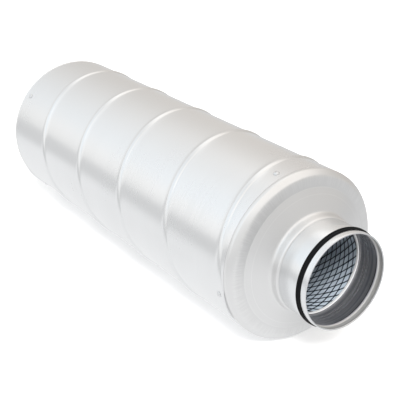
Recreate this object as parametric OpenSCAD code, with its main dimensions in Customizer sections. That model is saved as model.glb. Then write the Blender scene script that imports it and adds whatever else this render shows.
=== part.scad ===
// Round duct sound attenuator: spiral lock seam casing, two drawn end caps with
// gasketed spigots, and an expanded metal inner tube wrapped in fleece and wool.
// The duct axis is X, +Z is up, and the origin is the middle of the casing.

/* [Casing] */
// Outside diameter of the casing sheet
casing_d = 225; // [205:1:260]
// Length of the casing, edge to edge
casing_len = 595; // [400:1:900]
// Thickness of the casing sheet
casing_sheet = 0.6; // [0.5:0.1:1]

/* [Lock seam] */
// Axial distance from one turn of the seam to the next
seam_pitch = 120; // [90:1:140]
// Width of the folded seam along the axis
seam_w = 8; // [5:0.5:12]
// Height of the folded seam above the sheet
seam_h = 2; // [1:0.1:3]
// Place along the axis where a turn crosses the +Y side, nearest the middle
seam_offset = -9.3; // [-40:0.1:40]
// Width of the joint line that shows inside the casing
joint_w = 1; // [0.5:0.1:2]

/* [End caps] */
// Thickness of the cap sheet
cap_sheet = 0.8; // [0.5:0.1:1]
// How far the cap's skirt reaches into the casing
skirt_len = 25; // [20:1:40]
// Radial gap between the skirt and the casing
skirt_gap = 0.1; // [0.05:0.05:0.3]
// Axial gap between the casing's edge and the cap's lip
lip_gap = 0.3; // [0.1:0.1:1]
// Straight part of the lip before the shoulder turns in
lip_w = 2; // [1:0.5:4]
// Radius of the rounded shoulder
shoulder_r = 8.5; // [6:0.5:10]
// Rise of the dished face from the shoulder to its pressed step
dish_rise = 3.2; // [2:0.1:5]
// Outer diameter of the pressed step in the face
face_step_d = 183.5; // [178:0.5:188]
// Width of the pressed step along the radius
face_step_w = 7.2; // [5:0.1:9]
// Height of the pressed step
face_step_h = 4; // [3:0.1:5]
// Rise of the face from the step to the rolled edge round the neck
cone_rise = 8.2; // [6:0.1:10]
// How far the rolled edge stands out from the neck
bead_h = 3.6; // [3:0.1:5]
// Radius of the rolled edge
bead_r = 1.6; // [1.2:0.1:2]
// Length of the neck past the rolled edge
neck_len = 13.1; // [10:0.1:18]

/* [Spigots] */
// Outside diameter of the spigot, for a duct of one nominal size
spigot_d = 123.4; // [118:0.1:128]
// Thickness of the spigot's sheet
spigot_sheet = 0.8; // [0.5:0.1:1]
// Length of the spigot that stands out of the neck
spigot_free = 48; // [38:1:70]
// How far the spigot reaches in past the rolled edge
spigot_tail = 16.4; // [12:0.1:20]
// How much smaller in radius the spigot is where the neck holds it
held_step = 0.3; // [0.2:0.1:0.6]
// Length over which the spigot widens to its full size outside the neck
held_run = 2.5; // [2:0.5:5]
// Radial gap between the spigot and the neck
neck_gap = 0.1; // [0.05:0.05:0.3]
// Distance from the mouth to the middle of the gasket's groove
groove_inset = 11.3; // [10:0.1:16]
// Width of the gasket's groove at the spigot's surface
groove_w = 7; // [5:0.5:9]
// Depth of the gasket's groove
groove_depth = 2; // [1.5:0.1:2.5]
// Depth of the hem folded into the mouth
hem_w = 4; // [3:0.5:5]
// Gap left between the two layers of the hem
hem_gap = 0.4; // [0.2:0.1:0.6]

/* [Gaskets] */
// How far the fitted gasket stands above the spigot
gasket_proud = 0.25; // [0.1:0.05:0.3]
// Gap between the gasket and its groove
gasket_gap = 0.05; // [0.05:0.05:0.2]

/* [Rivets] */
// Rivets round each end of the casing
rivet_count = 4; // [3:1:8]
// Diameter of a rivet's shank
rivet_d = 3.2; // [2.4:0.1:4]
// Diameter of a rivet's head
rivet_head_d = 6.5; // [6:0.5:9]
// Height of a rivet's head
rivet_head_h = 1.6; // [1:0.1:2]
// Length of a set rivet's bulb behind the sheets
rivet_bulb = 3.4; // [2.5:0.1:5]
// Gap round the shank in its holes
rivet_gap = 0.05; // [0.05:0.05:0.2]
// Distance from the casing's edge to the rivets
rivet_inset = 12.5; // [9:0.5:14]
// Angle of the first rivet at the near end, from +Y towards +Z
rivet_angle_near = 14.5; // [0:0.5:90]
// Angle of the first rivet at the far end
rivet_angle_far = 51; // [0:0.5:90]

/* [Inner tube] */
// Gap between the end rings and the spigot round them
tube_gap = 0.15; // [0.1:0.05:0.3]
// Thickness of the expanded metal
mesh_t = 0.8; // [0.6:0.1:1.2]
// Distance from the spigot's mouth to the tube's end
tube_inset = 42; // [36:1:46]
// Diamonds round the tube
mesh_around = 12; // [8:1:12]
// Rows of diamonds along the tube
mesh_rows = 10; // [6:1:10]
// Width of the strands between the diamonds
strand_w = 5; // [3:0.5:8]
// Axial width of the folded end ring
ring_w = 3.5; // [3:0.5:8]
// Sheet thickness of the end ring
ring_sheet = 0.4; // [0.3:0.1:0.5]
// Gap between the end ring and the expanded metal
ring_gap = 0.1; // [0.05:0.05:0.15]

/* [Lining] */
// Thickness of the fleece round the expanded metal
fleece_t = 2; // [1:0.5:4]
// Gap between the fleece or the wool and what it meets
lining_gap = 0.2; // [0.1:0.1:0.5]

/* [Hidden] */
$fn = 96;
half = casing_len / 2;
casing_r = casing_d / 2;
casing_in = casing_r - casing_sheet;
skirt_r = casing_in - skirt_gap;
lip_r = casing_r;
spigot_r = spigot_d / 2;
spigot_in = spigot_r - held_step - spigot_sheet;
held_r = spigot_r - held_step;
neck_r = held_r + neck_gap + cap_sheet;
edge_r = neck_r + bead_h;
face_u = lip_gap + lip_w + shoulder_r;
step_u = face_u + dish_rise;
cone_u = step_u + face_step_h;
edge_u = cone_u + cone_rise;
neck_u = edge_u + neck_len;
mouth_u = neck_u + spigot_free;
spigot_u = edge_u - spigot_tail;
groove_u = mouth_u - groove_inset;
hem_r = spigot_sheet + hem_gap / 2;
tube_u = mouth_u - tube_inset;
ring_out = spigot_in - tube_gap;
mesh_r = ring_out - ring_sheet - ring_gap;
mesh_in = mesh_r - mesh_t;
ring_in = mesh_in - ring_gap - ring_sheet;
fleece_in = mesh_r + lining_gap;
fleece_r = fleece_in + fleece_t;
wool_in = fleece_r + lining_gap;
wool_r = casing_in - lining_gap;
wool_end_r = skirt_r - cap_sheet - rivet_bulb - lining_gap;
arc_n = 8;

// Points of an arc in the profile plane, from angle a0 to a1 about [cx, cy]
function arc(cx, cy, r, a0, a1, n = arc_n) =
    [for (i = [0 : n]) let (a = a0 + (a1 - a0) * i / n) [cx + r * cos(a), cy + r * sin(a)]];

// Unit vector from p to q
function dir(p, q) = (q - p) / norm(q - p);

// The path moved sideways by t, as the other face of a sheet
function side(path, t) =
    [for (i = [0 : len(path) - 1])
        let (a = i == 0 ? dir(path[0], path[1]) : dir(path[i - 1], path[i]))
        let (b = i == len(path) - 1 ? a : dir(path[i], path[i + 1]))
        let (m = a + b)
        path[i] + t * 2 / (m * m) * [m[1], -m[0]]];

// The path turned round, end first
function back(path) = [for (i = [len(path) - 1 : -1 : 0]) path[i]];

// A profile of [radius, distance along the axis] turned about the duct axis
module turned() {
    rotate([0, 90, 0])
        rotate_extrude()
            children();
}

// A sheet of thickness t whose outer face follows the path
module sheet(path, t) {
    turned()
        polygon(concat(path, back(side(path, -t))));
}

// Copies at both ends of the casing, or at one of them
module near_end() {
    translate([half, 0, 0])
        children();
}

module far_end() {
    mirror([1, 0, 0])
        translate([half, 0, 0])
            children();
}

// Shank positions round one end, for the holes and the rivets
module at_rivets(first) {
    for (i = [0 : rivet_count - 1])
        rotate([first + 360 * i / rivet_count, 0, 0])
            translate([-rivet_inset, 0, 0])
                rotate([-90, 0, 0])
                    children();
}

// Room for the heads where a turn of the seam would run under them
module rivet_seats(first) {
    at_rivets(first)
        translate([0, 0, casing_in])
            cylinder(d = rivet_head_d + 2 * rivet_gap, h = casing_sheet + 2 * seam_h);
}

module rivet_holes(first) {
    at_rivets(first)
        translate([0, 0, skirt_r - cap_sheet - rivet_bulb])
            cylinder(d = rivet_d + 2 * rivet_gap, h = 2 * rivet_bulb + cap_sheet + 2 * seam_h);
}

// Lines wound along the casing's helix: the folded seam outside, with its foot sunk in the
// sheet, and the fine joint inside where the strip's edges meet
seam_seg = 48;
seam_turns = (casing_len + 2 * seam_w) / seam_pitch;
seam_n = ceil(seam_turns * seam_seg);
seam_a0 = 360 * (-half - seam_w - seam_offset) / seam_pitch;
seam_foot = casing_r - casing_sheet / 3;
seam_top = casing_r + seam_h;
seam_profile = [
    [-seam_w / 2, seam_foot],
    [-seam_w * 0.44, seam_top - seam_h * 0.12],
    [-seam_w * 0.34, seam_top],
    [seam_w * 0.3, seam_top],
    [seam_w / 2, seam_foot]
];
joint_top = casing_in + casing_sheet / 2;
joint_profile = [
    [-joint_w / 2, casing_in - seam_h],
    [-joint_w / 2, joint_top],
    [joint_w / 2, joint_top],
    [joint_w / 2, casing_in - seam_h]
];

module wound(profile) {
    k = len(profile);
    points = [for (i = [0 : seam_n], p = profile)
        let (a = seam_a0 + 360 * seam_turns * i / seam_n)
        [seam_offset + seam_pitch * a / 360 + p[0], p[1] * cos(a), p[1] * sin(a)]];
    sides = [for (i = [0 : seam_n - 1], j = [0 : k - 1])
        let (a = i * k + j)
        let (b = i * k + (j + 1) % k)
        each [[a, b, a + k], [b, b + k, a + k]]];
    ends = [for (j = [1 : k - 2])
        each [[0, j + 1, j], seam_n * k * [1, 1, 1] + [0, j, j + 1]]];
    polyhedron(points, concat(sides, ends));
}

module casing() {
    color("#c3c7ca") {
        difference() {
            rotate([0, 90, 0])
                difference() {
                    cylinder(r = casing_r, h = casing_len, center = true);
                    cylinder(r = casing_in, h = casing_len + 2, center = true);
                }
            wound(joint_profile);
            near_end()
                rivet_holes(rivet_angle_near);
            far_end()
                rivet_holes(rivet_angle_far);
        }
        difference() {
            intersection() {
                wound(seam_profile);
                rotate([0, 90, 0])
                    cylinder(r = casing_r + 2 * seam_h, h = casing_len, center = true);
            }
            near_end()
                rivet_seats(rivet_angle_near);
            far_end()
                rivet_seats(rivet_angle_far);
        }
    }
}

// Outer face of the drawn cap, from the skirt's end to the neck's edge
cap_path = concat(
    [[skirt_r, -skirt_len], [skirt_r, lip_gap / 2]],
    [[lip_r, lip_gap + lip_w / 3]],
    arc(lip_r - shoulder_r, face_u - shoulder_r, shoulder_r, 0, 76),
    [[face_step_d / 2, step_u]],
    [[face_step_d / 2 - face_step_w, cone_u]],
    arc(edge_r - bead_r / 4, edge_u - bead_r, bead_r, 66, 120),
    [[neck_r + bead_r / 2, edge_u - bead_r * 0.75]],
    [[neck_r + bead_r / 8, edge_u - bead_r * 0.7], [neck_r, edge_u - bead_r / 4]],
    [[neck_r, neck_u]]
);

module cap(first) {
    color("#b9bcbf")
        difference() {
            sheet(cap_path, cap_sheet);
            rivet_holes(first);
        }
}

module cap_near() {
    near_end()
        cap(rivet_angle_near);
}

module cap_far() {
    far_end()
        cap(rivet_angle_far);
}

// Spigot with its rolled gasket groove and the hem folded into its mouth
spigot_path = concat(
    [[held_r, spigot_u], [held_r, neck_u], [spigot_r, neck_u + held_run]],
    [[spigot_r, groove_u - groove_w / 2]],
    [for (i = [1 : arc_n - 1])
        let (s = i / arc_n)
        [spigot_r - groove_depth * (1 - cos(360 * s)) / 2, groove_u + groove_w * (s - 0.5)]],
    [[spigot_r, groove_u + groove_w / 2]],
    arc(spigot_r - hem_r, mouth_u - hem_r, hem_r, 0, 180),
    [[spigot_r - 2 * hem_r, mouth_u - hem_w]]
);

module spigot() {
    color("#d0d4d8")
        sheet(spigot_path, spigot_sheet);
}

module spigot_near() {
    near_end()
        spigot();
}

module spigot_far() {
    far_end()
        spigot();
}

// Rubber gasket that fills the groove and stands in two lips above it
module gasket() {
    color("#26282a")
        turned()
            polygon(concat(
                [for (i = [1 : arc_n - 1])
                    let (s = i / arc_n)
                    [spigot_r + gasket_gap - groove_depth * (1 - cos(360 * s)) / 2,
                        groove_u + groove_w * (s - 0.5)]],
                [[spigot_r + gasket_proud, groove_u + groove_w * 0.4],
                    [spigot_r + gasket_proud, groove_u - groove_w * 0.4]]
            ));
}

module gasket_near() {
    near_end()
        gasket();
}

module gasket_far() {
    far_end()
        gasket();
}

// Blind rivet: domed head outside, shank through both sheets, bulb inside
module rivet() {
    seat = casing_r;
    grip = casing_r - skirt_r + cap_sheet;
    rotate_extrude()
        polygon(concat(
            [[0, seat + rivet_head_h]],
            [for (i = [1 : 6])
                let (a = 15 * i)
                [rivet_head_d / 2 * sin(a), seat + rivet_head_h * cos(a)]],
            [[rivet_d / 2, seat], [rivet_d / 2, seat - grip]],
            [[rivet_d * 0.75, seat - grip - rivet_bulb * 0.25]],
            [[rivet_d * 0.6, seat - grip - rivet_bulb * 0.9], [0, seat - grip - rivet_bulb]]
        ));
}

module rivets_near() {
    color("#dcdfe2")
        near_end()
            at_rivets(rivet_angle_near)
                rivet();
}

module rivets_far() {
    color("#dcdfe2")
        far_end()
            at_rivets(rivet_angle_far)
                rivet();
}

// Expanded metal tube: a thin wall with staggered rows of diamond gaps
tube_half = half + tube_u - ring_sheet - ring_gap;
mesh_zone = 2 * (tube_half - ring_w);
row_len = mesh_zone / (mesh_rows + 1);
gap_w = 2 * PI * mesh_r / mesh_around - strand_w;
gap_len = 2 * row_len - strand_w * 2;

module diamond() {
    linear_extrude(mesh_t + 6)
        polygon([[-gap_len / 2, 0], [0, -gap_w / 2], [gap_len / 2, 0], [0, gap_w / 2]]);
}

module mesh_tube() {
    color("#7d858c")
        difference() {
            rotate([0, 90, 0])
                difference() {
                    cylinder(r = mesh_r, h = 2 * tube_half, center = true);
                    cylinder(r = mesh_in, h = 2 * tube_half + 2, center = true);
                }
            for (j = [0 : mesh_rows - 1], i = [0 : mesh_around - 1])
                rotate([360 * (i + (j % 2) / 2) / mesh_around, 0, 0])
                    translate([(j - (mesh_rows - 1) / 2) * row_len, 0, mesh_in - 3])
                        diamond();
        }
}

// Ring folded over the tube's end
module ring() {
    color("#e2e5e8")
        turned()
            difference() {
                translate([ring_in, tube_u - ring_w])
                    square([ring_out - ring_in, ring_w]);
                translate([ring_in + ring_sheet, tube_u - ring_w - 1])
                    square([mesh_t + 2 * ring_gap, ring_w + 1 - ring_sheet]);
            }
}

module ring_near() {
    near_end()
        ring();
}

module ring_far() {
    far_end()
        ring();
}

// Fleece sleeve between the two spigots, thinner where it runs on inside them to the rings
module fleece() {
    body = half + spigot_u - lining_gap;
    tail = half + tube_u - ring_w - lining_gap;
    tail_r = spigot_in - ring_gap;
    color("#e9e8e2")
        turned()
            polygon([
                [fleece_in, -tail],
                [tail_r, -tail],
                [tail_r, -body],
                [fleece_r, -body],
                [fleece_r, body],
                [tail_r, body],
                [tail_r, tail],
                [fleece_in, tail]
            ]);
}

// Wool that fills the casing between the caps
module wool() {
    room = 1.2 * (cap_sheet + lining_gap);
    end = half + face_u - room;
    rise = half + step_u - room;
    top = half + cone_u - room;
    waist = half - skirt_len - lining_gap;
    step_r = face_step_d / 2;
    flat_r = min(lip_r - shoulder_r, wool_end_r);
    color("#d8cfa6")
        turned()
            polygon([
                [wool_in, -top],
                [step_r - face_step_w, -top],
                [step_r, -rise],
                [flat_r, -end],
                [wool_end_r, -half],
                [wool_end_r, -waist],
                [wool_r, -waist],
                [wool_r, waist],
                [wool_end_r, waist],
                [wool_end_r, half],
                [flat_r, end],
                [step_r, rise],
                [step_r - face_step_w, top],
                [wool_in, top]
            ]);
}

casing();
cap_near();
cap_far();
spigot_near();
spigot_far();
gasket_near();
gasket_far();
rivets_near();
rivets_far();
mesh_tube();
ring_near();
ring_far();
fleece();
wool();
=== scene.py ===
import math

import bpy
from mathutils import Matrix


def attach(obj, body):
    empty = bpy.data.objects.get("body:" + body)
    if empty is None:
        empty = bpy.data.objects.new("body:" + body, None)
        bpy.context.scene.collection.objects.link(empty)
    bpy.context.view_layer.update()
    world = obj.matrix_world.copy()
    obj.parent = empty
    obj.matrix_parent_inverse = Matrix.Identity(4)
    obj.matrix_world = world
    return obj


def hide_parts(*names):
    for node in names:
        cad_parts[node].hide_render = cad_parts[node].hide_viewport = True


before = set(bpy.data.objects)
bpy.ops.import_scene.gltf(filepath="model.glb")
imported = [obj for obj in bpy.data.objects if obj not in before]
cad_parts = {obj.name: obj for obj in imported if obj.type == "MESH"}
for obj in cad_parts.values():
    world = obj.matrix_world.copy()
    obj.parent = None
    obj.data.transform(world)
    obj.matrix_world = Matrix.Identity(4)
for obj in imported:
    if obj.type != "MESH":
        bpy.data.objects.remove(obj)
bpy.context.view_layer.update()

# Casing: a strip of galvanised sheet is wound into a tube, and its edges are
# folded into a lock seam that climbs the tube as a helix. The strip, with the
# seam along its middle, is screwed round the duct axis and cut square at both ends.
mm = 0.001
casing_r = 112.5 * mm
casing_half = 297.5 * mm
casing_sheet = 0.6 * mm
seam_pitch = 120 * mm
seam_offset = -9.3 * mm
turns_wound = 6
steps_round = 144
strip_weld = 0.02 * mm
casing_sharp = 32

# Points across the seam in mm: distance along the axis and height above the tube.
seam_section = [(-4.2, 0.0), (-3.95, 0.1), (-3.8, 0.45), (-3.6, 1.1), (-3.25, 1.55), (-2.6, 1.8),
                (-1.4, 1.83), (0.0, 1.65), (1.3, 1.32), (2.3, 0.95), (2.8, 0.68), (3.15, 0.32),
                (3.45, 0.08), (3.9, 0.0)]
# Lines of points on the plain sheet beside the seam, as shares of the pitch.
plain_lines = (0.09, 0.2, 0.36, 0.5)


def deselect():
    if bpy.context.object and bpy.context.object.mode != 'OBJECT':
        bpy.ops.object.mode_set(mode='OBJECT')
    bpy.ops.object.select_all(action='DESELECT')


def pick(piece):
    """Make a piece the only selected one, and the active one."""
    deselect()
    piece.select_set(True)
    bpy.context.view_layer.objects.active = piece


def edit_whole():
    """Open the active piece in edit mode with all of it selected."""
    bpy.ops.object.mode_set(mode='EDIT')
    bpy.ops.mesh.select_all(action='SELECT')


def face_outwards():
    """Turn every face of the piece in edit mode outwards, and leave edit mode."""
    bpy.ops.mesh.select_all(action='SELECT')
    bpy.ops.mesh.normals_make_consistent(inside=False)
    bpy.ops.object.mode_set(mode='OBJECT')


def cut_square(half):
    """Cut the piece in edit mode square at both ends, and leave edit mode."""
    for end in (1, -1):
        bpy.ops.mesh.select_all(action='SELECT')
        bpy.ops.mesh.bisect(plane_co=(end * half, 0, 0), plane_no=(end, 0, 0), clear_outer=True)
    face_outwards()


def draw_line(name, points):
    """A new piece in edit mode, holding one open line of [x, radius] points above the duct axis."""
    deselect()
    bpy.ops.mesh.primitive_plane_add(size=mm, location=(0, 0, 0))
    line = bpy.context.object
    line.name = line.data.name = name
    bpy.ops.object.mode_set(mode='EDIT')
    bpy.ops.mesh.merge(type='CENTER')
    bpy.ops.transform.translate(value=(points[0][0], points[0][1], 0))
    for before, after in zip(points, points[1:]):
        bpy.ops.mesh.extrude_region_move(
            TRANSFORM_OT_translate={"value": (after[0] - before[0], after[1] - before[1], 0)})
    bpy.ops.mesh.select_all(action='SELECT')
    return line


def apply_all(piece):
    pick(piece)
    for modifier in list(piece.modifiers):
        bpy.ops.object.modifier_apply(modifier=modifier.name)


def smooth(piece, degrees):
    pick(piece)
    bpy.ops.object.shade_smooth_by_angle(angle=math.radians(degrees))


def mean_radius(vertices):
    return sum(math.hypot(vertex.co.y, vertex.co.z) for vertex in vertices) / len(vertices)


strip = [(-seam_pitch * share, casing_r) for share in reversed(plain_lines)]
strip += [(x * mm, casing_r + height * mm) for x, height in seam_section]
strip += [(seam_pitch * share, casing_r) for share in plain_lines]
casing = draw_line("casing_spiral", strip)
bpy.ops.transform.translate(value=(seam_offset - turns_wound / 2 * seam_pitch, 0, 0))
bpy.ops.object.mode_set(mode='OBJECT')
winding = casing.modifiers.new("winding", 'SCREW')
winding.axis = 'X'
winding.angle = math.tau
winding.screw_offset = seam_pitch
winding.iterations = turns_wound
winding.steps = winding.render_steps = steps_round
winding.use_merge_vertices = False
apply_all(casing)
edit_whole()
bpy.ops.mesh.remove_doubles(threshold=strip_weld)
cut_square(casing_half)
one_side = len(casing.data.vertices)
wall = casing.modifiers.new("sheet", 'SOLIDIFY')
wall.thickness = casing_sheet
wall.offset = -1
apply_all(casing)

# The sheet's inner side is pressed to a plain tube, so that the folded seam is solid.
sheet_points = list(casing.data.vertices)
for vertex in min(sheet_points[:one_side], sheet_points[one_side:], key=mean_radius):
    x, y, z = vertex.co
    pressed = (casing_r - casing_sheet) / math.hypot(y, z)
    vertex.co = (min(max(x, -casing_half), casing_half), y * pressed, z * pressed)
smooth(casing, casing_sharp)
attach(casing, "root")
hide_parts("casing")


def math_node(tree, operation, a, b=0.0, clamp=False):
    node = tree.nodes.new('ShaderNodeMath')
    node.operation = operation
    node.use_clamp = clamp
    for socket, value in zip(node.inputs, (a, b)):
        if isinstance(value, (int, float)):
            socket.default_value = value
        else:
            tree.links.new(value, socket)
    return node.outputs[0]


def plus(tree, a, b, clamp=False):
    return math_node(tree, 'ADD', a, b, clamp)


def minus(tree, a, b):
    return math_node(tree, 'SUBTRACT', a, b)


def times(tree, a, b, clamp=False):
    return math_node(tree, 'MULTIPLY', a, b, clamp)


def length_of(tree, a, b):
    return math_node(tree, 'SQRT', plus(tree, times(tree, a, a), times(tree, b, b)))


def noise(tree, vector, scale, detail, rough):
    node = tree.nodes.new('ShaderNodeTexNoise')
    node.inputs['Scale'].default_value = scale
    node.inputs['Detail'].default_value = detail
    node.inputs['Roughness'].default_value = rough
    tree.links.new(vector, node.inputs['Vector'])
    return node.outputs['Fac']


def stretch(tree, vector, scale):
    node = tree.nodes.new('ShaderNodeMapping')
    node.inputs['Scale'].default_value = scale
    tree.links.new(vector, node.inputs['Vector'])
    return node.outputs['Vector']


def mix_colour(tree, fac, a, b):
    node = tree.nodes.new('ShaderNodeMix')
    node.data_type = 'RGBA'
    for socket, value in ((node.inputs[0], fac), (node.inputs[6], a), (node.inputs[7], b)):
        if isinstance(value, tuple):
            socket.default_value = (*value, 1)
        else:
            tree.links.new(value, socket)
    return node.outputs[2]


# Zinc coating: pale spangle, rolling streaks round the axis and cloudy handling marks.
streaks_per_metre = (260.0, 5.0, 5.0)
clouds_per_metre = 7.0
spangles_per_metre = 210.0
cloud_strength = 0.9
shade_share = 0.35
rough_share = 0.18
streak_depth = 0.4 * mm
zinc = bpy.data.node_groups.new("zinc_coating", 'ShaderNodeTree')
for label, kind in (("Tone", 'Color'), ("Shade", 'Color'), ("Streak", 'Float'), ("Spangle", 'Float'),
                    ("Roughness", 'Float'), ("Vector", 'Vector')):
    zinc.interface.new_socket(label, in_out='INPUT', socket_type='NodeSocket' + kind)
for label, kind in (("Color", 'Color'), ("Roughness", 'Float'), ("Height", 'Float')):
    zinc.interface.new_socket(label, in_out='OUTPUT', socket_type='NodeSocket' + kind)
zinc_in = zinc.nodes.new('NodeGroupInput').outputs
zinc_out = zinc.nodes.new('NodeGroupOutput').inputs
streaks = noise(zinc, stretch(zinc, zinc_in["Vector"], streaks_per_metre), 1.0, 4.0, 0.6)
clouds = noise(zinc, zinc_in["Vector"], clouds_per_metre, 3.0, 0.5)
flowers = zinc.nodes.new('ShaderNodeTexVoronoi')
flowers.inputs['Scale'].default_value = spangles_per_metre
zinc.links.new(zinc_in["Vector"], flowers.inputs['Vector'])
flower_tone = zinc.nodes.new('ShaderNodeSeparateColor')
zinc.links.new(flowers.outputs['Color'], flower_tone.inputs[0])
streak_part = times(zinc, minus(zinc, streaks, 0.5), zinc_in["Streak"])
flower_part = times(zinc, minus(zinc, flower_tone.outputs[0], 0.5), zinc_in["Spangle"])
cloud_part = times(zinc, minus(zinc, clouds, 0.5), cloud_strength)
mottle = plus(zinc, plus(zinc, streak_part, flower_part), cloud_part)
worn = plus(zinc, mottle, shade_share, clamp=True)
zinc.links.new(mix_colour(zinc, worn, zinc_in["Tone"], zinc_in["Shade"]), zinc_out["Color"])
zinc.links.new(plus(zinc, zinc_in["Roughness"], times(zinc, mottle, rough_share)), zinc_out["Roughness"])
zinc.links.new(streak_part, zinc_out["Height"])


def finish_of(name, metallic, specular=0.5):
    """A material with its tree, shader and object coordinates ready to link."""
    material = bpy.data.materials.new(name)
    material.use_nodes = True
    tree = material.node_tree
    shader = tree.nodes['Principled BSDF']
    shader.inputs['Metallic'].default_value = metallic
    shader.inputs['Specular IOR Level'].default_value = specular
    place = tree.nodes.new('ShaderNodeTexCoord')
    return material, tree, shader, place.outputs['Object']


def bump(tree, height, shader, strength, distance):
    node = tree.nodes.new('ShaderNodeBump')
    node.inputs['Strength'].default_value = strength
    node.inputs['Distance'].default_value = distance
    tree.links.new(height, node.inputs['Height'])
    tree.links.new(node.outputs['Normal'], shader.inputs['Normal'])


def join_axes(tree, x, y, z):
    node = tree.nodes.new('ShaderNodeCombineXYZ')
    for value, socket in zip((x, y, z), node.inputs):
        tree.links.new(value, socket)
    return node.outputs[0]


def round_the_axis(tree, place):
    """Object coordinates as [radius, distance along the duct axis, angle round it]."""
    split = tree.nodes.new('ShaderNodeSeparateXYZ')
    tree.links.new(place, split.inputs[0])
    x, y, z = split.outputs
    return length_of(tree, y, z), x, math_node(tree, 'ARCTAN2', z, y)


def along_the_profile(tree, place):
    """A vector whose first axis follows the profile of a turned piece, so that streaks run round it."""
    slow_round = 0.03
    radius, x, angle = round_the_axis(tree, place)
    return join_axes(tree, plus(tree, radius, x),
                     times(tree, math_node(tree, 'SINE', angle), slow_round),
                     times(tree, math_node(tree, 'COSINE', angle), slow_round))


def zinc_material(name, tone, shade, streak, spangle, roughness, lathe=False, metallic=1.0,
                  relief=0.12, marks_and_highlights=None):
    """Zinc coated sheet. A turned piece takes lathe, and marks gives the strength of bright die marks and
    painted highlight lines.
    """
    mark_and_highlight_white = (0.97, 0.97, 0.965)
    material, tree, shader, place = finish_of(name, metallic)
    coat = tree.nodes.new('ShaderNodeGroup')
    coat.node_tree = zinc
    tree.links.new(along_the_profile(tree, place) if lathe else place, coat.inputs["Vector"])
    coat.inputs["Tone"].default_value = (*tone, 1)
    coat.inputs["Shade"].default_value = (*shade, 1)
    coat.inputs["Streak"].default_value = streak
    coat.inputs["Spangle"].default_value = spangle
    coat.inputs["Roughness"].default_value = roughness
    colour = coat.outputs["Color"]
    if marks_and_highlights:
        colour = mix_colour(tree, marks_and_highlights(tree, place), colour, mark_and_highlight_white)
    tree.links.new(colour, shader.inputs['Base Color'])
    tree.links.new(coat.outputs["Roughness"], shader.inputs['Roughness'])
    bump(tree, coat.outputs["Height"], shader, relief, streak_depth)
    return material


casing_zinc = zinc_material("casing_zinc", tone=(0.835, 0.84, 0.845), shade=(0.79, 0.795, 0.8),
                            streak=0.35, spangle=0.06, roughness=0.25, relief=0.012)
casing.data.materials.append(casing_zinc)

# End caps: deep drawn galvanised sheet. The skirt slides into the casing, a small
# lip stops at its edge, and the dished face carries a pressed step and rises in a
# soft fillet to the neck, whose curled end holds the spigot.
cap_sheet = 0.8 * mm
profile_weld = 0.005 * mm
skirt_r, lip_r = 111.8, 112.5
shoulder_r = 3.2
skirt = [(skirt_r, -25.0), (skirt_r, -6.0), (skirt_r, -0.4), (lip_r - 0.2, 0.12), (lip_r, 0.5)]
shoulder = [(109.5, 8.2), (107.3, 10.35), (106.3, 11.15), (105.4, 11.7), (104.5, 12.05), (103.4, 12.35)]
dished_face = [(100.0, 12.85), (93.0, 13.84), (92.3, 13.96), (91.7, 14.2), (84.9, 17.5), (84.2, 17.82),
               (83.4, 18.2), (75.0, 22.1), (67.6, 25.43)]
neck_foot = [(66.7, 25.85), (65.8, 26.35), (65.0, 26.98), (64.4, 27.75), (64.0, 28.7), (63.8, 29.8)]
neck = [(63.7, 31.5), (63.6, 35.0), (63.55, 36.8)]
neck_curl = [(63.3, 37.9), (62.8, 38.9), (62.1, 39.6), (61.55, 39.9)]


def arc(cx, cy, r, a0, a1, n):
    return [(cx + r * math.cos(math.radians(a0 + (a1 - a0) * i / n)),
             cy + r * math.sin(math.radians(a0 + (a1 - a0) * i / n))) for i in range(n + 1)]


def from_edge(points):
    """Profile points measured in mm from the casing's edge, as [radius, distance]."""
    return [(casing_half + u * mm, r * mm) for r, u in points]


def sheet_outline(path, t):
    """A closed profile: the outer face of a sheet and the same face moved inwards by its thickness."""
    inner = []
    for i, (x, r) in enumerate(path):
        x0, r0 = path[max(i - 1, 0)]
        x1, r1 = path[min(i + 1, len(path) - 1)]
        run, rise = x1 - x0, r1 - r0
        length = math.hypot(run, rise) or 1.0
        inner.append((x + t * rise / length, r - t * run / length))
    return path + inner[::-1]


def turn(name, outline, steps=steps_round, angle=30, closed=True):
    """A profile line spun once round the duct axis, with doubles merged and faces outwards."""
    piece = draw_line(name, outline + outline[:1] if closed else outline)
    bpy.ops.mesh.remove_doubles(threshold=profile_weld)
    bpy.ops.mesh.select_all(action='SELECT')
    bpy.ops.mesh.spin(steps=steps, angle=math.tau, center=(0, 0, 0), axis=(1, 0, 0))
    bpy.ops.mesh.select_all(action='SELECT')
    bpy.ops.mesh.remove_doubles(threshold=profile_weld)
    face_outwards()
    smooth(piece, angle)
    return piece


def far_copy(piece, name):
    """The same piece mirrored to the far end, with its own mesh."""
    pick(piece)
    bpy.ops.object.duplicate()
    copy = bpy.context.object
    copy.name = copy.data.name = name
    edit_whole()
    bpy.ops.transform.resize(value=(-1, 1, 1), center_override=(0, 0, 0))
    face_outwards()
    return copy


def fit(piece, node, slot, *finishes):
    piece.data.materials.clear()
    for finish in finishes:
        piece.data.materials.append(finish)
    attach(piece, "root")
    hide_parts(node)


def ramp(tree, value, start, stop, low=0.0, high=1.0):
    """A smooth change from low to high while the value goes from start to stop."""
    node = tree.nodes.new('ShaderNodeMapRange')
    node.interpolation_type = 'SMOOTHSTEP'
    for i, number in enumerate((start, stop, low, high)):
        node.inputs[i + 1].default_value = number
    tree.links.new(value, node.inputs[0])
    return node.outputs[0]


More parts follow.
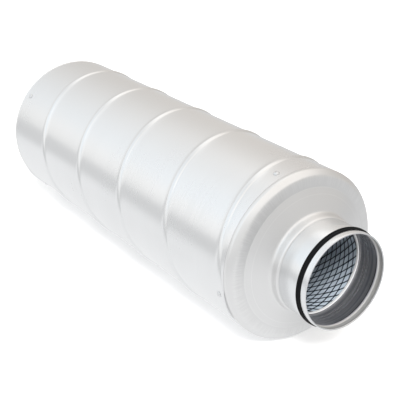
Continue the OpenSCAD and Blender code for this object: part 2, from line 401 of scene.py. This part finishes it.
def die_marks_and_painted_highlights(tree, place):
    """Strength of the bright marks: the die's radial fan on the shoulder, and painted highlight lines along
    both edges of the step.
    """
    step_edges = (84.5 * mm, 91.9 * mm)
    edge_width, edge_highlight_strength = 0.7 * mm, 0.32
    fan_grain, fan_strength = 75.0, 0.3
    radius, _, angle = round_the_axis(tree, place)
    fan = join_axes(tree, math_node(tree, 'COSINE', angle), math_node(tree, 'SINE', angle),
                    times(tree, radius, 0.5))
    band = times(tree, ramp(tree, radius, 92 * mm, 99 * mm), ramp(tree, radius, 105 * mm, 109 * mm, 1.0, 0.0))
    fine = ramp(tree, noise(tree, fan, fan_grain, 2.0, 0.5), 0.36, 0.64, 0.0, fan_strength)
    marks_and_highlights = times(tree, fine, band)
    # Painted highlights: a pale line along each edge of the pressed step.
    for edge in step_edges:
        line = times(tree, ramp(tree, radius, edge - edge_width, edge, 0.0, edge_highlight_strength),
                     ramp(tree, radius, edge, edge + edge_width, 1.0, 0.0))
        marks_and_highlights = plus(tree, marks_and_highlights, line)
    return marks_and_highlights


cap_path = skirt + arc(lip_r - shoulder_r, 3.9, shoulder_r, 0, 42, 5) + shoulder
cap_path += dished_face + neck_foot + neck + neck_curl
cap_near = turn("cap_near_drawn", sheet_outline(from_edge(cap_path), cap_sheet))
cap_zinc = zinc_material("cap_zinc", tone=(0.835, 0.834, 0.832), shade=(0.79, 0.789, 0.787),
                         streak=0.3, spangle=0.06, roughness=0.36, lathe=True, relief=0.05,
                         marks_and_highlights=die_marks_and_painted_highlights)
fit(cap_near, "cap_near", "cap", cap_zinc)
fit(far_copy(cap_near, "cap_far_drawn"), "cap_far", "cap", cap_zinc)

# Spigots: smooth collars of thinner zinc coated sheet, pressed into the necks. A
# groove is rolled near the mouth for the gasket, and the mouth's edge is hemmed
# inwards. The hem and the bore take darker copies of the zinc as painted shade
# inside the mouth. The bore is darkest, and its streaky dark rings and blue cast are painted shade too.
spigot_r, held_r = 61.7, 61.4
bore_r, held_bore_r = 60.9, 60.6
groove_at, groove_width, groove_depth = 76.0, 7.0, 2.0
rim_at, rim_r = 86.2, 1.1
bead_from, bead_width, bead_height = 79.4, 5.4, 1.9
hem_back = 78.0
swell_shares = [i / 14 for i in range(15)]


def swell(share):
    """A smooth rise from 0 to 1 and back, while the share goes from 0 to 1."""
    return (1 - math.cos(math.tau * share)) / 2


spigot_path = [(held_r, 9.8), (held_r, 25.0), (held_r, 39.3), (held_r + 0.15, 40.5)]
spigot_path += [(spigot_r, 41.8), (spigot_r, 56.0)]
spigot_path += [(spigot_r - groove_depth * swell(share), groove_at + groove_width * (share - 0.5))
                for share in swell_shares]
spigot_path += arc(spigot_r - rim_r, rim_at, rim_r, 0, 180, 12)
spigot_path += [(59.65, 85.2), (60.2, 84.2), (60.75, 83.2), (bore_r, 82.0)]
spigot_path += [(bore_r - bead_height * swell(share), bead_from - bead_width * share)
                for share in swell_shares]
spigot_path += [(bore_r, 56.0), (bore_r, 42.6)]
spigot_path += [(held_bore_r, 40.0), (held_bore_r, 25.0), (held_bore_r, 9.8)]
spigot_near = turn("spigot_near_collar", from_edge(spigot_path))
spigot_zinc = zinc_material("spigot_zinc", tone=(0.84, 0.85, 0.86), shade=(0.78, 0.79, 0.8),
                            streak=0.5, spangle=0.05, roughness=0.24, lathe=True)
hem_zinc_painted_shade = zinc_material("hem_zinc_painted_shade", tone=(0.48, 0.475, 0.465), shade=(0.4, 0.395, 0.385),
                         streak=0.5, spangle=0.05, roughness=0.35, lathe=True, metallic=0.55,
                         relief=0.06)
bore_rings_painted_shade = zinc_material("bore_rings_painted_shade", tone=(0.56, 0.545, 0.56), shade=(0.1, 0.125, 0.165),
                          streak=2.4, spangle=0.05, roughness=0.3, lathe=True, metallic=0.82)
spigot_far = far_copy(spigot_near, "spigot_far_collar")
fit(spigot_near, "spigot_near", "spigot", spigot_zinc, hem_zinc_painted_shade, bore_rings_painted_shade)
fit(spigot_far, "spigot_far", "spigot", spigot_zinc, hem_zinc_painted_shade, bore_rings_painted_shade)
# Inward faces short of the rim take the painted shade: the hem near the mouth, the bore deeper in.
for spigot in (spigot_near, spigot_far):
    for face in spigot.data.polygons:
        depth = (abs(face.center.x) - casing_half) / mm
        faces_axis = face.normal.y * face.center.y + face.normal.z * face.center.z < 0
        if faces_axis and depth < rim_at:
            face.material_index = 1 if depth > hem_back else 2

# Gaskets: black rubber profile rings stretched into the rolled grooves. Two soft
# lips stand out of the groove and lean back from the mouth, ready to seal a duct.
gasket_ring = [(59.75, 76.0), (60.2, 74.3), (61.3, 73.2), (61.75, 72.6), (62.7, 72.3), (63.3, 72.5),
               (63.5, 73.1), (63.2, 73.9), (62.6, 74.4), (62.2, 75.0), (62.25, 75.8), (62.9, 76.2),
               (63.15, 76.8), (62.9, 77.6), (62.3, 78.4), (61.8, 79.2), (61.3, 78.8), (60.2, 77.7)]


def plain_finish(name, specular, pattern, dark, pale, rough, rough_swing, relief, depth):
    """A finish that isn't metal. Its pattern gives the mask from dark to pale, and the relief."""
    material, tree, shader, place = finish_of(name, 0.0, specular)
    mask, height = pattern(tree, place)
    tree.links.new(mix_colour(tree, mask, dark, pale), shader.inputs['Base Color'])
    tree.links.new(plus(tree, times(tree, height, rough_swing), rough), shader.inputs['Roughness'])
    bump(tree, height, shader, relief, depth)
    return material


def rubber_grain(tree, place):
    grain = noise(tree, place, 900.0, 4.0, 0.6)
    return grain, grain


gasket_near = turn("gasket_near_lips", from_edge(gasket_ring), angle=60)
gasket_rubber = plain_finish("gasket_rubber", 0.06, rubber_grain,
                             dark=(0.003, 0.0032, 0.0036), pale=(0.008, 0.0083, 0.009),
                             rough=0.45, rough_swing=0.2, relief=0.15, depth=0.2 * mm)
fit(gasket_near, "gasket_near", "gasket", gasket_rubber)
fit(far_copy(gasket_near, "gasket_far_lips"), "gasket_far", "gasket", gasket_rubber)

# Rivets: aluminium blind rivets, four round each end, that pin the casing to the
# cap's skirt. The head is a low dome with the dimple that the pulled pin leaves.
rivets_per_end = 4
rivet_inset = 12.5 * mm
near_first_angle, far_first_angle = 14.5, 51.0
rivet_head = [(0.0, 0.9), (0.5, 0.95), (0.65, 1.3), (0.75, 2.0), (1.4, 2.0), (2.5, 1.62), (3.4, 1.0),
              (3.8, 0.4), (3.85, 0.0), (1.6, 0.0), (1.6, -1.6), (2.4, -2.4), (1.9, -4.4), (0.0, -4.8)]


def rivet_ring(name, first_angle, end):
    """One end's rivets, seated on the casing and joined into one piece."""
    made = []
    for i in range(rivets_per_end):
        turned = math.radians(first_angle + 360 / rivets_per_end * i)
        rivet = turn(name, [(h * mm, r * mm) for r, h in rivet_head], steps=24, angle=40, closed=False)
        edit_whole()
        bpy.ops.transform.rotate(value=-math.pi / 2, orient_axis='Z', center_override=(0, 0, 0))
        bpy.ops.transform.translate(value=(0, casing_r, 0))
        bpy.ops.object.mode_set(mode='OBJECT')
        for vertex in rivet.data.vertices:
            x, y, z = vertex.co
            vertex.co = (x + end * (casing_half - rivet_inset),
                         y * math.cos(turned) - z * math.sin(turned),
                         y * math.sin(turned) + z * math.cos(turned))
        made.append(rivet)
    pick(made[0])
    for rivet in made:
        rivet.select_set(True)
    bpy.ops.object.join()
    made[0].name = made[0].data.name = name
    return made[0]


rivet_alloy = zinc_material("rivet_alloy", tone=(0.85, 0.855, 0.86), shade=(0.6, 0.61, 0.62),
                            streak=0.3, spangle=0.1, roughness=0.3)
fit(rivet_ring("rivets_near_set", near_first_angle, 1), "rivets_near", "rivet", rivet_alloy)
fit(rivet_ring("rivets_far_set", far_first_angle, -1), "rivets_far", "rivet", rivet_alloy)

# Expanded metal tube: slit and stretched zinc coated sheet, wound as a strip into
# the air passage, so its diamonds lie along the winding. A flat net of diamonds is
# rolled round the axis, and a wireframe gives its merged strands their body.
mesh_r = 59.55 * mm
mesh_half = casing_half + 44.6 * mm
winding_tilt = math.radians(17)
diamonds_round, diamonds_across = 21, 13
strands_across = 34
row_phase, column_phase = 0.562, 0.858
net_weld = 0.2 * mm
strand_width = 2.25 * mm
strand_flatness = 0.6
girth = math.tau * mesh_r
long_way = girth * math.cos(winding_tilt) / diamonds_round
short_way = girth * math.sin(winding_tilt) / diamonds_across
strand_a = [(long_way * math.sin(winding_tilt) + short_way * math.cos(winding_tilt)) / 2,
            (long_way * math.cos(winding_tilt) - short_way * math.sin(winding_tilt)) / 2]
strand_b = [(long_way * math.sin(winding_tilt) - short_way * math.cos(winding_tilt)) / 2,
            (long_way * math.cos(winding_tilt) + short_way * math.sin(winding_tilt)) / 2]
first_row = row_phase - math.ceil((casing_half + mesh_half) / strand_a[0]) - 1
net_start = [casing_half + first_row * strand_a[0] + column_phase * strand_b[0],
             first_row * strand_a[1] + column_phase * strand_b[1]]
net_rows = math.ceil((mesh_half - net_start[0] - strands_across * strand_b[0]) / strand_a[0]) + 1
first_line = [(net_start[0] + j * strand_b[0], net_start[1] + j * strand_b[1])
              for j in range(strands_across + 1)]
mesh_tube = draw_line("mesh_tube_diamonds", first_line)
for row in range(net_rows):
    bpy.ops.mesh.extrude_edges_move(TRANSFORM_OT_translate={"value": (strand_a[0], strand_a[1], 0)})
bpy.ops.object.mode_set(mode='OBJECT')
for vertex in mesh_tube.data.vertices:
    rolled = vertex.co.y / mesh_r
    vertex.co = (vertex.co.x, mesh_r * math.cos(rolled), mesh_r * math.sin(rolled))
edit_whole()
bpy.ops.mesh.remove_doubles(threshold=net_weld)
cut_square(mesh_half)
strands = mesh_tube.modifiers.new("strands", 'WIREFRAME')
strands.thickness = strand_width
strands.offset = 0
strands.use_even_offset = False
strands.use_replace = True
apply_all(mesh_tube)
for vertex in mesh_tube.data.vertices:
    x, y, z = vertex.co
    flatten = (mesh_r + strand_flatness * (math.hypot(y, z) - mesh_r)) / math.hypot(y, z)
    vertex.co = (x, y * flatten, z * flatten)
# Painted shade: the zinc strands are painted near black for the shade inside the tube.
mesh_strands_painted_shade = zinc_material("mesh_strands_painted_shade", tone=(0.05, 0.06, 0.075), shade=(0.02, 0.025, 0.035),
                          streak=0.3, spangle=0.2, roughness=0.4)
fit(mesh_tube, "mesh_tube", "mesh", mesh_strands_painted_shade)

# End rings: a zinc strip, painted near white as a painted highlight, folded over the raw ends of the
# expanded metal, so that no strand catches the air or a hand. Each ring sits just inside its spigot.
ring_fold = [(58.65, 41.9), (58.65, 43.4), (58.65, 44.6), (58.9, 45.05), (59.55, 45.3), (60.2, 45.05),
             (60.45, 44.6), (60.45, 43.4), (60.45, 41.9), (60.15, 41.9), (60.15, 44.5), (58.95, 44.5),
             (58.95, 41.9)]
ring_near = turn("ring_near_fold", from_edge(ring_fold), angle=50)
ring_zinc_painted_highlight = zinc_material("ring_zinc_painted_highlight", tone=(0.95, 0.95, 0.95), shade=(0.86, 0.86, 0.86),
                          streak=0.4, spangle=0.05, roughness=0.3, lathe=True, metallic=0.4)
fit(ring_near, "ring_near", "ring", ring_zinc_painted_highlight)
fit(far_copy(ring_near, "ring_far_fold"), "ring_far", "ring", ring_zinc_painted_highlight)

# Lining: a thin pale fleece is wrapped round the expanded metal, and the rest of the
# casing is packed with mineral wool. Both are sealed in behind the mesh.
fibres_per_metre, tufts_per_metre = 420.0, 60.0
layers_per_metre = (30.0, 120.0, 120.0)


def fleece_fibres(tree, place):
    fibres = noise(tree, place, fibres_per_metre, 6.0, 0.7)
    tufts = noise(tree, place, tufts_per_metre, 3.0, 0.5)
    return plus(tree, times(tree, fibres, 0.6), times(tree, tufts, 0.4)), fibres


def wool_layers(tree, place):
    layers = noise(tree, stretch(tree, place, layers_per_metre), 1.0, 5.0, 0.65)
    return layers, layers


fleece_cloth = plain_finish("fleece_cloth", 0.2, fleece_fibres,
                            dark=(0.355, 0.43, 0.505), pale=(0.51, 0.56, 0.615),
                            rough=0.8, rough_swing=0.15, relief=0.4, depth=0.8 * mm)
wool_batt = plain_finish("wool_batt", 0.2, wool_layers,
                         dark=(0.55, 0.48, 0.3), pale=(0.82, 0.77, 0.6),
                         rough=0.85, rough_swing=0.1, relief=0.6, depth=2.0 * mm)
for node, material in (("fleece", fleece_cloth), ("wool", wool_batt)):
    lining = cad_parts[node]
    lining.data.materials.clear()
    lining.data.materials.append(material)

# Table and light: a white table just under the casing, in a soft pale studio. To metal
# the table shows a painted reflection: it ends a little in front of the part, and beyond it a darker
# studio tone is painted, with painted shadow behind the axis and painted shade past the near end.
# Metal also sees a brighter ceiling over the near end. A soft box shines into the near mouth.
table_drop = 114.6 * mm
table_size = 16
painted_off_table_tone = 0.74
deselect()
bpy.ops.mesh.primitive_grid_add(x_subdivisions=2, y_subdivisions=2, size=table_size,
                                location=(0, 0, -table_drop))
table = bpy.context.object
table.name = "table"


def axes_of(tree, output):
    place = tree.nodes.new('ShaderNodeTexCoord')
    split = tree.nodes.new('ShaderNodeSeparateXYZ')
    tree.links.new(place.outputs[output], split.inputs[0])
    return list(split.outputs)


def below_zero(tree, value):
    return math_node(tree, 'MINIMUM', value, 0.0)


def above_zero(tree, value):
    return math_node(tree, 'MAXIMUM', value, 0.0)


table_white = bpy.data.materials.new("table_white")
table_white.use_nodes = True
white = table_white.node_tree
white.nodes.clear()
white_out = white.nodes.new('ShaderNodeOutputMaterial')
table_x, table_y = axes_of(white, 'Object')[:2]
left_run = times(white, below_zero(white, table_x), 0.45)
right_run = times(white, above_zero(white, table_x), 0.2)
run_out = length_of(white, plus(white, left_run, right_run), below_zero(white, table_y))
painted_table_mask = ramp(white, run_out, 0.36, 0.54, 1.0, 0.0)
# Painted reflection: to glossy rays the table's glow has a painted falloff far off, painted shadow behind the
# axis and painted shade past the near end.
painted_falloff = ramp(white, length_of(white, table_x, table_y), 0.55, 1.2, 1.0, 0.84)
painted_shadow_behind = ramp(white, table_y, -0.06, 0.03, 1.0, 0.82)
painted_shade_near_end = ramp(white, table_x, 0.2, 0.4, 0.99, 0.92)
painted_table_shading = times(white, times(white, painted_falloff, painted_shadow_behind), painted_shade_near_end)
above_studio = times(white, minus(white, painted_table_shading, painted_off_table_tone), painted_table_mask)
painted_reflection_tone = plus(white, above_studio, painted_off_table_tone)
rays = white.nodes.new('ShaderNodeLightPath')
mirrored = math_node(white, 'MAXIMUM', rays.outputs['Is Glossy Ray'], rays.outputs['Is Transmission Ray'])
paint = white.nodes.new('ShaderNodeBsdfDiffuse')
paint.inputs['Color'].default_value = (0.86, 0.86, 0.86, 1)
glow = white.nodes.new('ShaderNodeEmission')
white.links.new(times(white, rays.outputs['Is Camera Ray'], 0.3), glow.inputs['Strength'])
lit = white.nodes.new('ShaderNodeAddShader')
white.links.new(paint.outputs[0], lit.inputs[0])
white.links.new(glow.outputs[0], lit.inputs[1])
# Glossy and transmission rays see this painted reflection in place of the lit table.
painted_reflection = white.nodes.new('ShaderNodeEmission')
painted_reflection.inputs['Color'].default_value = (0.992, 0.999, 1.007, 1)
white.links.new(painted_reflection_tone, painted_reflection.inputs['Strength'])
either = white.nodes.new('ShaderNodeMixShader')
white.links.new(mirrored, either.inputs[0])
white.links.new(lit.outputs[0], either.inputs[1])
white.links.new(painted_reflection.outputs[0], either.inputs[2])
white.links.new(either.outputs[0], white_out.inputs[0])
table.data.materials.append(table_white)

# The walls are brighter in front than behind, and a little dimmer low in front of the far end.
world = bpy.data.worlds.new("studio")
bpy.context.scene.world = world
world.use_nodes = True
sky = world.node_tree
studio = sky.nodes['Background']
sky_x, sky_y, sky_z = axes_of(sky, 'Generated')
near_side = ramp(sky, sky_x, -0.2, 0.5)
far_side = minus(sky, 1.0, near_side)
away_from_back = ramp(sky, sky_y, -0.15, 0.25, 1.0, 0.0)
far_dip = times(sky, ramp(sky, sky_x, -0.73, -0.66, 0.0, 0.18), away_from_back)
far_base = minus(sky, ramp(sky, sky_x, -0.9, -0.74, 0.84, 0.965), far_dip)
far_level = plus(sky, times(sky, sky_y, -0.38), far_base)
front_part = above_zero(sky, times(sky, sky_y, -1.0))
near_level = plus(sky, times(sky, front_part, 0.3), 0.69)
wall_level = plus(sky, far_level, times(sky, near_side, minus(sky, near_level, far_level)))
far_front = times(sky, times(sky, front_part, 2.0, clamp=True), far_side)
dusk = times(sky, ramp(sky, sky_z, -0.05, 0.2, 0.12, 0.0), far_front)

# The ceiling has a faint glow, a lamp over the near end and another behind the far end.
overhead = ramp(sky, sky_z, 0.42, 0.78)
near_overhead = times(sky, near_side, ramp(sky, sky_z, 0.42, 0.66))
near_lamp = times(sky, near_overhead, ramp(sky, sky_z, 0.68, 0.8, 0.42, 0.33))
back_light = times(sky, ramp(sky, sky_z, 0.66, 0.78, 0.0, 0.3), ramp(sky, sky_y, -0.3, 0.3))
lamps = plus(sky, near_lamp, times(sky, overhead, 0.06))
ceiling = plus(sky, times(sky, back_light, far_side), lamps)
studio_level = plus(sky, times(sky, wall_level, minus(sky, 1.0, dusk)), ceiling)
sky.links.new(studio_level, studio.inputs['Strength'])

# The light is warmer from the back and from the near lamp, and cooler high in front.
side_tint = times(sky, sky_y, plus(sky, times(sky, near_side, -0.6), 0.8))
lamp_tint = times(sky, times(sky, near_side, overhead), 0.3)
warm_side = above_zero(sky, side_tint)
cool_side = times(sky, below_zero(sky, side_tint), ramp(sky, sky_z, 0.15, 0.42))
warmth = plus(sky, plus(sky, plus(sky, warm_side, cool_side), lamp_tint), 0.5, clamp=True)
studio_tint = mix_colour(sky, warmth, (0.955, 1.003, 1.042), (1.05, 1.0, 0.947))
sky.links.new(studio_tint, studio.inputs['Color'])


def look_along(thing, direction):
    """Turn a lamp or a camera along a direction, level from side to side."""
    x, y, z = direction
    thing.rotation_euler = (math.pi / 2 + math.atan2(z, math.hypot(x, y)), 0, math.atan2(y, x) - math.pi / 2)


soft_box_place = (1.9, -0.9, 2.0)
near_mouth = (0.35, 0, 0)
deselect()
bpy.ops.object.light_add(type='AREA', location=soft_box_place)
mouth_light = bpy.context.object
mouth_light.name = "mouth_soft_box"
mouth_light.data.shape = 'RECTANGLE'
mouth_light.data.size = 1.2
mouth_light.data.size_y = 1.0
mouth_light.data.energy = 95
mouth_light.visible_glossy = False
look_along(mouth_light, [there - here for here, there in zip(soft_box_place, near_mouth)])

# Camera: it stands in front of the near mouth, above the axis and to its left, fairly
# close, so the near end is clearly larger than the far one.
deselect()
bpy.ops.object.camera_add(location=(1.0544, -0.6547, 0.5006))
camera = bpy.context.object
look_along(camera, (-0.76174, 0.51300, -0.39571))
camera.data.lens = 81.2
camera.data.sensor_width = 36
camera.data.clip_end = 60
bpy.context.scene.camera = camera
bpy.context.scene.view_settings.view_transform = 'Standard'
